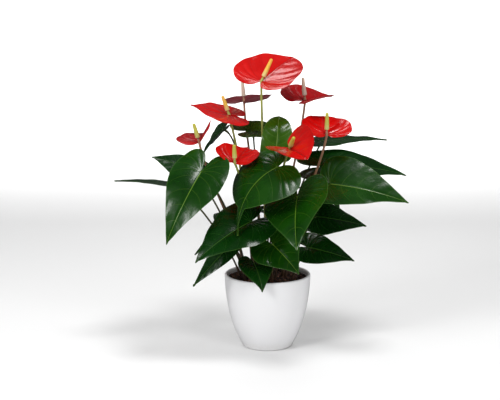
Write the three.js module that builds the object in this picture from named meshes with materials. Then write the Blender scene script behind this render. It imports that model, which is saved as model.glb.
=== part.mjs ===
// Potted anthurium: a plain round pot of white glazed ceramic, filled with potting mix. The plant in it has
// heart-shaped leaves on long stalks, and red flowers, each a heart-shaped spathe under an upright spadix.
// Millimetres, +Z up, origin at the centre of the pot's flat base, front of the plant towards -Y.
import * as THREE from "three";

// ---- Driving dimensions ----
const DEG = Math.PI / 180;

const POT = {
  height: 122,
  rimRadius: 71,
  baseRadius: 43, // where the wall begins, just above the rounded foot
  footRounding: 4.5,
  bellyLow: [58.5, 30], // radius and height of the two handles that swell the wall
  bellyHigh: [70, 72],
  wall: 4.6,
  floor: 6,
  segments: 40,
};

const MIX = {
  belowRim: 8, // the mix stands this far below the rim at the wall
  mound: 4, // and this much higher in the middle
  clearance: 0.35, // to the pot's wall and floor
};

const BLADE = {
  thickness: 0.8,
  lobe: 0.31, // how far the two lobes reach behind the stalk, as a share of the midrib
  blunt: 0, // how full the blade stays towards its tip, from 0 to 1
  notch: 0.8, // radius of the notch between the lobes
  rows: 12, // points along each half of the margin
  columns: 3, // points from the midrib to the margin
};

// Radii of the stalks, and the way they take where a leaf or flower doesn't say.
const PETIOLE = { radius: 1.5, collar: 1.9, foot: 2.1, sides: 6, steps: 9, way: { reach: 0.62, lift: 0.78 } };
const PEDUNCLE = { radius: 1.9, foot: 2.3, sides: 8, steps: 9, way: { reach: 0.88, lift: 0.76 } };
const SPADIX = { radius: 3.8, tipRadius: 2.2, neck: 8, steps: 7 };

const SPATHE = {
  thickness: 1,
  lobe: 0.3,
  blunt: 0.6,
  clearance: 5.1, // between the stalk and the notch that it stands in
  rows: 11,
  columns: 3,
};
const TOUCH = 0.4; // gap kept between two pieces that touch

// ---- The plant's layout ----
// Each leaf:
//   at     where its stalk meets the blade, with its height above the pot's rim
//   tip    the blade's tip, in the same way
//   face   where the blade's upper side looks, beside the stalk
//   width  of the blade
//   lobe   and blunt, where they aren't the usual ones; tail: length of the drawn-out tip, as a share of
//          the midrib
//   bend   degrees the midrib turns down on its way to the tip; sweep: to its right; twist: about itself
//   fold   degrees that each half rises from the midrib
//   curl   how far the margins roll down
//   foot   where the stalk leaves the mix, from the pot's axis
//   reach  how much of the way outwards the stalk has gone near its top; lift: of the way up
const LEAVES = [
  { name: "front_left", at: [-106, -71, 180], tip: [-159, -118, 73], face: [-0.2, -0.8, 0.5], width: 92,
    bend: 45, sweep: 8, fold: 10, curl: 6, foot: [-32, -10], reach: 0.5 },
  { name: "back_left", at: [-122, 46, 163], tip: [-195, 66, 185], face: [0, -0.5, 0.85], width: 70,
    bend: 15, fold: 6, curl: 4, foot: [-38, 8] },
  { name: "far_left", at: [-150, 14, 146], tip: [-251, 0, 155], face: [0, 0.02, 1], width: 66, bend: 8,
    fold: 4, curl: 3, foot: [-44, 0] },
  { name: "upper_left", at: [-74, 46, 233], tip: [-109, 62, 190], face: [-0.8, -0.1, 0.3], width: 50,
    bend: 15, fold: 12, curl: 2, foot: [-24, 12], reach: 0.35, lift: 1 },
  { name: "upper_middle", at: [-24, 44, 231], tip: [52, 82, 218], face: [0, -0.3, 1], width: 80, bend: 20,
    fold: 10, curl: 3, lobe: 0.4, foot: [-12, 16] },
  { name: "young_upright", at: [12, -26, 196], tip: [18, 8, 260], face: [0, -0.9, 0.35], width: 52,
    bend: 80, fold: 4, curl: 3, lobe: 0.08, tail: 0.03, foot: [4, 4], reach: 0.2, lift: 1 },
  { name: "middle_front", at: [13, -81, 189], tip: [-49, -104, 84], face: [-0.4, -0.68, 0.62], width: 120,
    bend: 60, sweep: -46, twist: 60, fold: 4, curl: 14, lobe: 0.18, tail: 0.34, foot: [-2, -14], reach: 0.3,
    lift: 0.9 },
  { name: "right_front", at: [45, -84, 142], tip: [42, -160, 73], face: [-0.45, -0.6, 0.67], width: 110,
    bend: 30, fold: 8, curl: 5, lobe: 0.42, foot: [12, -20] },
  { name: "lower_left", at: [-29, -76, 101], tip: [-115, -112, 43], face: [-0.3, -0.65, 0.65], width: 100,
    bend: 30, fold: 8, curl: 6, foot: [-24, -24] },
  { name: "lower_middle", at: [7, -78, 65], tip: [48, -104, 23], face: [0.05, -0.75, 0.6], width: 84,
    bend: 25, fold: 10, curl: 4, foot: [6, -34] },
  { name: "rim_leaf", at: [-22, -62, 30], tip: [-9, -93, -9], face: [0.3, -0.78, 0.5], width: 58, bend: 34,
    fold: 10, curl: 3, foot: [-14, -38] },
  { name: "hanging_left", at: [-60, -50, 60], tip: [-121, -66, -7], face: [0.5, -0.4, 0.75], width: 40,
    bend: 20, fold: 24, curl: 2, foot: [-36, -30] },
  { name: "low_back_left", at: [-72, 50, 50], tip: [-124, 60, 17], face: [-0.2, -0.3, 0.9], width: 60,
    bend: 25, fold: 10, curl: 3, foot: [-30, 22] },
  { name: "right_middle", at: [82, 42, 87], tip: [168, 50, 69], face: [0, -0.6, 0.75], width: 74, bend: 15,
    fold: 4, curl: 4, foot: [34, 10] },
  { name: "right_low", at: [66, -30, 50], tip: [140, -46, 31], face: [0.1, -0.75, 0.6], width: 58, bend: 20,
    fold: 6, curl: 4, foot: [40, -18] },
  { name: "right_big", at: [99, -40, 156], tip: [222, -72, 131], face: [0, -0.66, 0.75], width: 108,
    bend: 22, fold: 16, curl: 3, lobe: 0.16, foot: [28, -18] },
  { name: "right_back", at: [94, 22, 175], tip: [233, 48, 156], face: [0, -0.5, 0.85], width: 86, bend: 25,
    fold: 8, curl: 4, foot: [26, 6] },
  { name: "right_high", at: [93, 74, 211], tip: [205, 96, 210], face: [0, -0.14, 1], width: 66, bend: 12,
    fold: 4, curl: 3, foot: [16, 30] },
  { name: "back_middle", at: [23, 92, 90], tip: [42, 178, 48], face: [0, 0.5, 0.85], width: 76, bend: 30,
    fold: 6, curl: 6, foot: [8, 34] },
  { name: "back_right", at: [72, 90, 124], tip: [130, 154, 78], face: [0.3, 0.2, 0.9], width: 86, bend: 30,
    fold: 6, curl: 6, foot: [26, 30] },
  { name: "back_low", at: [-44, 84, 90], tip: [-88, 152, 38], face: [-0.2, 0.4, 0.85], width: 88, bend: 30,
    fold: 6, curl: 6, foot: [-14, 36] },
];

// A flower has the same terms for its spathe, and spike is the spadix from its base to its tip.
const FLOWERS = [
  { name: "top", at: [-11, -6, 317], tip: [42, 64, 352], face: [0, -0.4, 0.9], width: 108, bend: 10,
    fold: 5, curl: -6, lobe: 0.24, tail: 0.05, spike: [17, 4, 36], foot: [-2, 10] },
  { name: "back_right", at: [62, 44, 282], tip: [109, 78, 286], face: [0.05, -0.1, 0.97], width: 108,
    bend: 15, fold: 14, curl: -2, lobe: 0.5, spike: [-4, 0, 38], foot: [14, 24] },
  { name: "left", at: [-63, 20, 260], tip: [-126, 4, 279], face: [0.3, -0.22, 0.93], width: 88, bend: -10,
    fold: 2, curl: 1, lobe: 0.5, spike: [-11, -2, 32], foot: [-22, 0], reach: 0.6 },
  { name: "back_left", at: [-39, 94, 276], tip: [0, 155, 281], face: [-0.1, -0.02, 1], width: 84, bend: 15,
    fold: 4, curl: 0, spike: [-3, 0, 34], foot: [-4, 28], reach: 0.95 },
  { name: "far_left", at: [-110, -30, 221], tip: [-104, 28, 230], face: [-0.46, -0.1, 0.88], width: 76,
    bend: 10, fold: 34, curl: 0, spike: [-9, 0, 31], foot: [-34, -4] },
  { name: "front_left", at: [-53, -57, 192], tip: [-32, -8, 211], face: [0.06, -0.36, 0.93], width: 72,
    bend: 10, fold: 12, curl: -9, lobe: 0.14, spike: [-1, -4, 30], foot: [-20, -8], reach: 0.45 },
  { name: "front_middle", at: [33, -67, 217], tip: [60, -114, 206], face: [-0.3, -0.42, 0.87], width: 78,
    bend: 20, fold: 24, curl: -8, lobe: 0.4, tail: 0.05, spike: [6, -22, 20], foot: [6, -8], reach: 0.35 },
  { name: "right", at: [94, -24, 233], tip: [90, 24, 258], face: [0.1, -0.45, 0.86], width: 82, bend: 10,
    fold: 6, curl: -6, lobe: 0.22, tail: 0.05, spike: [0, -2, 36], foot: [24, -8] },
];

// ---- Geometry helpers ----

// Collects triangles over shared points, and leaves out those that have no area.
class Shell {
  constructor() {
    this.positions = [];
    this.indices = [];
    this.known = new Map();
  }
  point(v) {
    const key = [v.x, v.y, v.z].map((c) => Math.round(c * 1e3)).join();
    if (!this.known.has(key)) {
      this.known.set(key, this.positions.length / 3);
      this.positions.push(v.x, v.y, v.z);
    }
    return this.known.get(key);
  }
  triangle(a, b, c) {
    if (a !== b && b !== c && c !== a) this.indices.push(a, b, c);
  }
  quad(a, b, c, d) {
    this.triangle(a, b, c);
    this.triangle(a, c, d);
  }
  geometry() {
    const made = new THREE.BufferGeometry();
    made.setAttribute("position", new THREE.Float32BufferAttribute(this.positions, 3));
    made.setIndex(this.indices);
    made.computeVertexNormals();
    return made;
  }
}

// A place given by its distances from the pot's axis and its height above the rim.
function aboveRim([x, y, z]) {
  return new THREE.Vector3(x, y, POT.height + z);
}

// Half of a heart-shaped margin in the flat: x across and y along, from the notch round the lobe to the tip.
function heartMargin({ width, lobe, tail = 0.14, blunt }, length, notch, rows) {
  const halfWidth = width / 2;
  const back = length * lobe;
  const body = length * (1 - tail);
  const end = length * tail;
  const corners = [
    [0, 0], [notch * 0.55, 0], [notch, -notch * 0.45], [notch, -notch],
    [notch * 1.1, -back * 0.65], [halfWidth * 0.2, -back], [halfWidth * 0.42, -back],
    [halfWidth * 0.78, -back], [halfWidth, -back * 0.45], [halfWidth, length * 0.1],
    [halfWidth, body * (0.4 + 0.24 * blunt)],
    [halfWidth * (0.4 + 0.36 * blunt), body * (0.74 + 0.16 * blunt)], [halfWidth * 0.17, body],
    [halfWidth * 0.08, body + end * 0.5], [halfWidth * 0.02, body + end * 0.8], [0, length],
  ].map(([x, y]) => new THREE.Vector2(x, y));
  const path = new THREE.CurvePath();
  for (let i = 0; i + 3 < corners.length; i += 3) {
    path.add(new THREE.CubicBezierCurve(...corners.slice(i, i + 4)));
  }
  return path.getSpacedPoints(rows);
}

// The midrib of a blade of length 1, as places and orientations at equal steps. It starts along +Y with its
// upper side towards +Z, and turns down by bend, to its right by sweep and about itself by twist on the way.
function midrib({ bend, sweep = 0, twist = 0 }, steps = 24) {
  const place = new THREE.Vector3();
  const stations = [];
  for (let i = 0; i <= steps; i++) {
    const share = i / steps;
    const turn = new THREE.Quaternion().setFromEuler(
      new THREE.Euler(-bend * DEG * share, twist * DEG * share ** 2, -sweep * DEG * share, "ZXY"),
    );
    stations.push({ place: place.clone(), turn });
    place.addScaledVector(new THREE.Vector3(0, 1, 0).applyQuaternion(turn), 1 / steps);
  }
  return stations;
}

// The rotation that carries direction from to direction to, and side fromUp as near as can be to toUp.
function alignment(from, fromUp, to, toUp) {
  const basis = (main, up) => {
    const y = main.clone().normalize();
    const z = up.clone().projectOnPlane(y).normalize();
    return new THREE.Matrix4().makeBasis(new THREE.Vector3().crossVectors(y, z), y, z);
  };
  return basis(to, toUp).multiply(basis(from, fromUp).transpose());
}

// The blade's length, and the function that carries a point of the flat blade, at a height, into space.
function bladeForm(spec) {
  const stations = midrib(spec);
  const end = stations.at(-1).place;
  const at = aboveRim(spec.at);
  const chord = aboveRim(spec.tip).sub(at);
  const length = chord.length() / end.length();
  const toSpace = alignment(end, new THREE.Vector3(0, 0, 1), chord, new THREE.Vector3(...spec.face));
  const fold = spec.fold * DEG;
  const place = (x, y, height) => {
    const share = THREE.MathUtils.clamp(y / length, 0, 1);
    const below = Math.min(Math.floor(share * (stations.length - 1)), stations.length - 2);
    const rest = share * (stations.length - 1) - below;
    const [low, high] = [stations[below], stations[below + 1]];
    const turn = low.turn.clone().slerp(high.turn, rest);
    const raised = Math.abs(x) * Math.sin(fold) - spec.curl * ((2 * x) / spec.width) ** 2 + height;
    return new THREE.Vector3(x * Math.cos(fold), Math.min(y, 0), raised).applyQuaternion(turn)
      .addScaledVector(low.place, (1 - rest) * length).addScaledVector(high.place, rest * length)
      .applyMatrix4(toSpace).add(at);
  };
  return { length, place };
}

// A thin closed blade: two heart-shaped skins joined round the margin.
function heartBlade(spec, { thickness, lobe, blunt, notch, rows, columns }) {
  const { length, place } = bladeForm(spec);
  const margin = heartMargin({ lobe, blunt, ...spec }, length, notch, rows);
  const shell = new Shell();
  const skin = (sideSign, height) =>
    margin.map(({ x, y }) => {
      const foot = Math.max(0, y - 0.8 * x);
      return Array.from({ length: columns + 1 }, (_, j) => {
        const share = j / columns;
        return shell.point(place(sideSign * x * share, foot + (y - foot) * share, height));
      });
    });
  for (const sideSign of [1, -1]) {
    const top = skin(sideSign, thickness / 2);
    const under = skin(sideSign, -thickness / 2);
    const quad = (a, b, c, d) => (sideSign < 0 ? shell.quad(a, b, c, d) : shell.quad(d, c, b, a));
    for (let i = 0; i < rows; i++) {
      for (let j = 0; j < columns; j++) {
        quad(top[i][j], top[i + 1][j], top[i + 1][j + 1], top[i][j + 1]);
        quad(under[i][j], under[i][j + 1], under[i + 1][j + 1], under[i + 1][j]);
      }
      quad(top[i][columns], top[i + 1][columns], under[i + 1][columns], under[i][columns]);
    }
  }
  return shell.geometry();
}

// A closed round stalk: rings of the given radii about centres on a curve, and square to it.
function stalk(curve, centres, radii, sides) {
  const shell = new Shell();
  const last = centres.length - 1;
  let across = new THREE.Vector3(1, 0, 0);
  const rings = centres.map((centre, i) => {
    const tangent = curve.getTangent(i / last);
    across = across.clone().projectOnPlane(tangent).normalize();
    const other = new THREE.Vector3().crossVectors(tangent, across);
    return Array.from({ length: sides }, (_, k) => {
      const angle = (k / sides) * 2 * Math.PI;
      return shell.point(centre.clone().addScaledVector(across, radii[i] * Math.cos(angle))
        .addScaledVector(other, radii[i] * Math.sin(angle)));
    });
  });
  for (let i = 0; i < last; i++)
    for (let k = 0; k < sides; k++) {
      const next = (k + 1) % sides;
      shell.quad(rings[i][k], rings[i][next], rings[i + 1][next], rings[i + 1][k]);
    }
  const bottom = shell.point(centres[0]);
  const top = shell.point(centres[last]);
  for (let k = 0; k < sides; k++) {
    const next = (k + 1) % sides;
    shell.triangle(bottom, rings[0][next], rings[0][k]);
    shell.triangle(top, rings[last][k], rings[last][next]);
  }
  return shell.geometry();
}

// ---- Pot and potting mix ----

// The pot's outer wall from foot to rim, as radius and height.
const outerWall = new THREE.CubicBezierCurve(
  new THREE.Vector2(POT.baseRadius, POT.footRounding),
  new THREE.Vector2(...POT.bellyLow),
  new THREE.Vector2(...POT.bellyHigh),
  new THREE.Vector2(POT.rimRadius, POT.height - POT.wall / 2),
);

// The wall moved inwards by a distance, from a lowest height up to a highest.
function wallInside(distance, lowest, highest) {
  return outerWall.getPoints(9)
    .map((p, i) => {
      const tangent = outerWall.getTangent(i / 9);
      return new THREE.Vector2(p.x - tangent.y * distance, p.y + tangent.x * distance);
    })
    .filter((p) => p.y > lowest + 1 && p.y < highest - 1);
}

// The inner wall's radius at a height.
function innerRadiusAt(height, distance) {
  const wall = wallInside(distance, -POT.height, 2 * POT.height);
  const upper = wall.findIndex((p) => p.y >= height);
  if (upper <= 0) return upper < 0 ? wall.at(-1).x : wall[0].x;
  const [low, high] = [wall[upper - 1], wall[upper]];
  return low.x + ((high.x - low.x) * (height - low.y)) / (high.y - low.y);
}

// Points of an arc in the radius-height plane.
function arc(x, y, radius, from, to, steps) {
  return new THREE.EllipseCurve(x, y, radius, radius, from, to, to < from).getPoints(steps);
}

function potGeometry() {
  const lip = POT.wall / 2;
  const foot = POT.footRounding;
  const floor = new THREE.Vector2(innerRadiusAt(POT.floor, POT.wall), POT.floor);
  const profile = [
    new THREE.Vector2(0, 0),
    ...arc(POT.baseRadius - foot, foot, foot, -Math.PI / 2, -0.35, 3),
    ...outerWall.getPoints(8),
    ...arc(POT.rimRadius - lip, POT.height - lip, lip, 0.5, Math.PI - 0.5, 4),
    ...wallInside(POT.wall, POT.floor, POT.height).reverse(),
    floor,
    new THREE.Vector2(0, POT.floor),
  ];
  return new THREE.LatheGeometry(profile, POT.segments);
}

// Height of the mix's surface at a distance from the pot's axis.
const mixRadius = innerRadiusAt(POT.height - MIX.belowRim, POT.wall + MIX.clearance);
const mixHeight = (radius) => POT.height - MIX.belowRim + MIX.mound * (1 - (radius / mixRadius) ** 2);

function mixGeometry() {
  const inset = POT.wall + MIX.clearance;
  const bottom = POT.floor + MIX.clearance;
  const top = POT.height - MIX.belowRim;
  const surface = [1, 0.75, 0.5, 0.25, 0].map((share) => share * mixRadius);
  const profile = [
    new THREE.Vector2(0, bottom),
    new THREE.Vector2(innerRadiusAt(bottom, inset) - MIX.clearance, bottom),
    ...wallInside(inset, bottom, top),
    ...surface.map((radius) => new THREE.Vector2(radius, mixHeight(radius))),
  ];
  return new THREE.LatheGeometry(profile, POT.segments);
}

// LatheGeometry turns about Y, and the pot stands along Z.
function turned(geometry) {
  return geometry.rotateX(Math.PI / 2);
}

// ---- Leaves and flowers ----

// A stalk's line from its foot in the mix to a point in space, leaving steeply and bowing outwards.
function stalkCurve({ foot: [footX, footY], reach, lift }, top, radius) {
  const foot = new THREE.Vector3(footX, footY, mixHeight(Math.hypot(footX, footY)) + TOUCH + radius * 0.25);
  const run = top.clone().sub(foot);
  const low = foot.clone().add(new THREE.Vector3(run.x * 0.18, run.y * 0.18, run.z * 0.36));
  const high = foot.clone().add(new THREE.Vector3(run.x * reach, run.y * reach, run.z * lift));
  return new THREE.CubicBezierCurve3(foot, low, high, top);
}

// A leaf stalk: flared at the foot, and ending in a small dome under the blade.
function petioleGeometry(spec) {
  const at = aboveRim(spec.at);
  const foot = new THREE.Vector3(...spec.foot, POT.height);
  const arriving = at.clone().sub(foot).normalize();
  const top = at.clone().addScaledVector(arriving, -(BLADE.thickness / 2 + TOUCH + PETIOLE.collar * 0.75));
  const curve = stalkCurve({ ...PETIOLE.way, ...spec }, top, PETIOLE.foot);
  const centres = curve.getPoints(PETIOLE.steps);
  const radii = centres.map((_, i) => {
    const share = i / PETIOLE.steps;
    if (share === 1) return PETIOLE.collar * 0.5;
    if (share > 0.85) return PETIOLE.collar;
    return THREE.MathUtils.lerp(PETIOLE.foot, PETIOLE.radius, Math.min(1, share * 3));
  });
  return stalk(curve, centres, radii, PETIOLE.sides);
}

// A flower stalk that goes on through the spathe's notch, and carries the spadix above a bare neck.
function peduncleGeometry(spec) {
  const at = aboveRim(spec.at);
  const spike = new THREE.Vector3(...spec.spike);
  const lower = stalkCurve({ ...PEDUNCLE.way, ...spec }, at, PEDUNCLE.foot);
  const neck = SPADIX.neck / spike.length();
  const centres = lower.getPoints(PEDUNCLE.steps);
  const radii = centres.map((_, i) =>
    THREE.MathUtils.lerp(PEDUNCLE.foot, PEDUNCLE.radius, Math.min(1, (4 * i) / PEDUNCLE.steps)),
  );
  for (let i = 0; i <= SPADIX.steps; i++) {
    const share = i / SPADIX.steps;
    centres.push(at.clone().addScaledVector(spike, THREE.MathUtils.lerp(neck, 1, share)));
    const radius = THREE.MathUtils.lerp(SPADIX.radius, SPADIX.tipRadius, share);
    radii.push(share === 1 ? radius * 0.5 : radius);
  }
  return stalk(new THREE.CatmullRomCurve3(centres, false, "centripetal"), centres, radii, PEDUNCLE.sides);
}

// The spathe starts just in front of its stalk, which stands in the notch.
function spatheGeometry(spec) {
  const notch = PEDUNCLE.radius + SPATHE.clearance;
  const at = new THREE.Vector3(...spec.at);
  const forward = new THREE.Vector3(...spec.tip).sub(at).normalize();
  const start = at.addScaledVector(forward, notch);
  return heartBlade({ ...spec, at: start.toArray() }, { ...SPATHE, notch });
}

// ---- Materials ----
const material = (color, roughness) => new THREE.MeshStandardMaterial({ color, roughness, metalness: 0 });
const glaze = material(0xf0f0ee, 0.35);
const pottingMix = material(0x3a241a, 0.95);
const leafGreen = material(0x14480f, 0.35);
const stalkGreen = material(0x4a4a22, 0.5);
const flowerStalk = material(0x8a9a3c, 0.45);
const spatheRed = material(0xd8140f, 0.25);

// ---- Assembly ----
const plant = new THREE.Group();

function add(name, geometry, finish) {
  const mesh = new THREE.Mesh(geometry, finish);
  mesh.name = name;
  plant.add(mesh);
}

add("pot", turned(potGeometry()), glaze);
add("potting_mix", turned(mixGeometry()), pottingMix);
for (const leaf of LEAVES) {
  add(`leaf_${leaf.name}`, heartBlade(leaf, BLADE), leafGreen);
  add(`leaf_stalk_${leaf.name}`, petioleGeometry(leaf), stalkGreen);
}
for (const flower of FLOWERS) {
  add(`spathe_${flower.name}`, spatheGeometry(flower), spatheRed);
  add(`flower_stalk_${flower.name}`, peduncleGeometry(flower), flowerStalk);
}

export default plant;
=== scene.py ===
"""Dresses a potted anthurium: a white pot, potting mix, leaves on their stalks, and flowers."""

import logging
import math
import random
from dataclasses import dataclass, field
from enum import Enum
from typing import Any, Callable, Sequence

import bpy
import numpy as np
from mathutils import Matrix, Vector, noise


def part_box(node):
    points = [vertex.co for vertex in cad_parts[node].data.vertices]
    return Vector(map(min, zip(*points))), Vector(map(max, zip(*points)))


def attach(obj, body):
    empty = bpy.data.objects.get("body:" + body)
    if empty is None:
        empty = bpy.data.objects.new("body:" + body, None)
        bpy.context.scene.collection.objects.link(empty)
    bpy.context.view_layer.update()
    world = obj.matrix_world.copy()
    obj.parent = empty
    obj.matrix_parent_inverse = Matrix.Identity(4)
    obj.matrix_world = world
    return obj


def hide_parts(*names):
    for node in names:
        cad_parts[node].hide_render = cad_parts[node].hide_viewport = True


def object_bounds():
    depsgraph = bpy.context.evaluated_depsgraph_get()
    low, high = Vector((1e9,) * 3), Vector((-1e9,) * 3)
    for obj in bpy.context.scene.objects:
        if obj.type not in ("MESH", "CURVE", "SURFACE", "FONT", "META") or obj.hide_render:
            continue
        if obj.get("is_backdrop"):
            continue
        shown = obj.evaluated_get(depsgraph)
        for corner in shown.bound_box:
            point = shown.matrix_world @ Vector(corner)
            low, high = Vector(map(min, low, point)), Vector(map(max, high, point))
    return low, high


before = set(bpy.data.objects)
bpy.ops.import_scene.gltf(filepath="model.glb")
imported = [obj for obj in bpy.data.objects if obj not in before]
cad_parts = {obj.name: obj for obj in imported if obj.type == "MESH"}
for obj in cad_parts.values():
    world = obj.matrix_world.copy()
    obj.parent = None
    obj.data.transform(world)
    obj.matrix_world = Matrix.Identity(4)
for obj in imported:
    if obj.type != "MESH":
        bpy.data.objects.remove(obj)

log = logging.getLogger("anthurium")

MM = 0.001
SMOOTH_BELOW = math.radians(55)

RIM = np.array([0, 0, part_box("pot")[1].z / MM])

Triple = tuple[float, float, float]
Colour = tuple[float, float, float]


# ---- Modelling helpers ----


def deselect_all() -> None:
    """Leaves edit mode and selects nothing."""
    if bpy.context.mode != "OBJECT":
        bpy.ops.object.mode_set(mode="OBJECT")
    bpy.ops.object.select_all(action="DESELECT")


def active_piece(name: str) -> bpy.types.Object:
    """Names the object that an operator has just added.

    Args:
        name: The piece's name, also given to its mesh.

    Returns:
        The piece.
    """
    piece = bpy.context.object
    piece.name = name
    piece.data.name = name
    return piece


def grid_piece(name: str, columns: int, rows: int) -> tuple[bpy.types.Object, np.ndarray, np.ndarray]:
    """Adds a flat grid to be shaped.

    Args:
        name: The piece's name.
        columns: Faces from side to side.
        rows: Faces from one end to the other.

    Returns:
        The piece, and each vertex's column and row as numbers from 0.
    """
    deselect_all()
    bpy.ops.mesh.primitive_grid_add(x_subdivisions=columns, y_subdivisions=rows, size=2)
    piece = active_piece(name)
    flat = np.empty(len(piece.data.vertices) * 3)
    piece.data.vertices.foreach_get("co", flat)
    flat = flat.reshape(-1, 3)
    column = np.rint((flat[:, 0] + 1) / 2 * columns).astype(int)
    row = np.rint((flat[:, 1] + 1) / 2 * rows).astype(int)
    return piece, column, row


def shape(piece: bpy.types.Object, points: np.ndarray) -> None:
    """Moves a piece's vertices.

    Args:
        piece: The piece.
        points: The new places, in metres, one row for each vertex.
    """
    piece.data.vertices.foreach_set("co", np.ascontiguousarray(points, dtype=np.float32).ravel())
    piece.data.update()


def mark(piece: bpy.types.Object, name: str, values: np.ndarray) -> None:
    """Stores a number on each vertex, for a material to read.

    Args:
        piece: The piece.
        name: The attribute's name.
        values: The numbers.
    """
    layer = piece.data.attributes.new(name, "FLOAT", "POINT")
    layer.data.foreach_set("value", np.ascontiguousarray(values, dtype=np.float32))


def put_in_scene(name: str, data: bpy.types.ID) -> bpy.types.Object:
    """Puts a mesh, a light or a camera in the scene.

    Args:
        name: The object's name.
        data: The mesh, light or camera.

    Returns:
        The object.
    """
    made = bpy.data.objects.new(name, data)
    bpy.context.scene.collection.objects.link(made)
    return made


def edit_all(piece: bpy.types.Object, act: Callable[[], Any]) -> None:
    """Runs a mesh operator on all of a piece's vertices.

    Args:
        piece: The piece.
        act: Runs the operator.
    """
    deselect_all()
    piece.select_set(True)
    bpy.context.view_layer.objects.active = piece
    bpy.ops.object.mode_set(mode="EDIT")
    bpy.ops.mesh.select_all(action="SELECT")
    act()
    bpy.ops.object.mode_set(mode="OBJECT")


def merge_doubles(piece: bpy.types.Object, distance: float = 1e-6) -> None:
    """Merges a piece's vertices that are nearer to each other than a distance in metres."""
    edit_all(piece, lambda: bpy.ops.mesh.remove_doubles(threshold=distance))


def recalculate_outside(piece: bpy.types.Object) -> None:
    """Points a closed piece's faces outwards."""
    edit_all(piece, lambda: bpy.ops.mesh.normals_make_consistent(inside=False))


def apply_modifier(piece: bpy.types.Object, kind: str, **settings: Any) -> None:
    """Adds a modifier and applies it at once.

    Args:
        piece: The piece.
        kind: The modifier's type.
        **settings: Its settings.
    """
    deselect_all()
    piece.select_set(True)
    bpy.context.view_layer.objects.active = piece
    modifier = piece.modifiers.new(kind.title(), kind)
    for key, value in settings.items():
        setattr(modifier, key, value)
    bpy.ops.object.modifier_apply(modifier=modifier.name)


def smooth(piece: bpy.types.Object, angle: float = SMOOTH_BELOW) -> None:
    """Shades a piece smooth where its faces meet at less than an angle.

    Args:
        piece: The piece.
        angle: The angle, in radians.
    """
    deselect_all()
    piece.select_set(True)
    bpy.context.view_layer.objects.active = piece
    bpy.ops.object.shade_smooth_by_angle(angle=angle)


def hand_over(piece: bpy.types.Object, slot: str, *nodes: str) -> None:
    """Puts a finished piece on the plant's body in place of its solids.

    Args:
        piece: The piece.
        slot: The record's material slot.
        *nodes: The solids that it stands for.
    """
    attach(piece, "root")
    if nodes:
        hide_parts(*nodes)
    log.info("%s: %d faces, %s", piece.name, len(piece.data.polygons), slot)


def smoothstep(low: float, high: float, value: np.ndarray) -> np.ndarray:
    """Eases from 0 at low to 1 at high.

    Args:
        low: Where it leaves 0.
        high: Where it reaches 1.
        value: The numbers to ease.

    Returns:
        The eased numbers.
    """
    share = np.clip((value - low) / (high - low), 0, 1)
    return share * share * (3 - 2 * share)


def bezier(corners: Sequence[Sequence[float]], count: int) -> np.ndarray:
    """Points at equal parameters on a cubic curve.

    Args:
        corners: Its four control points.
        count: How many points.

    Returns:
        The points, one row each.
    """
    a, b, c, d = (np.array(corner, float) for corner in corners)
    t = np.linspace(0, 1, count)[:, None]
    return a * (1 - t) ** 3 + 3 * b * t * (1 - t) ** 2 + 3 * c * t**2 * (1 - t) + d * t**3


def unit(vector: np.ndarray) -> np.ndarray:
    """The vector's direction, with length 1."""
    return vector / np.linalg.norm(vector)


def turned(angle: float, axis: str) -> np.ndarray:
    """The matrix of a turn about a main axis.

    Args:
        angle: The turn, in radians.
        axis: "X", "Y" or "Z".

    Returns:
        The 3 by 3 matrix.
    """
    c, s = math.cos(angle), math.sin(angle)
    if axis == "X":
        return np.array([[1, 0, 0], [0, c, -s], [0, s, c]])
    if axis == "Y":
        return np.array([[c, 0, s], [0, 1, 0], [-s, 0, c]])
    return np.array([[c, -s, 0], [s, c, 0], [0, 0, 1]])


# ---- Shader helpers ----


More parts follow.
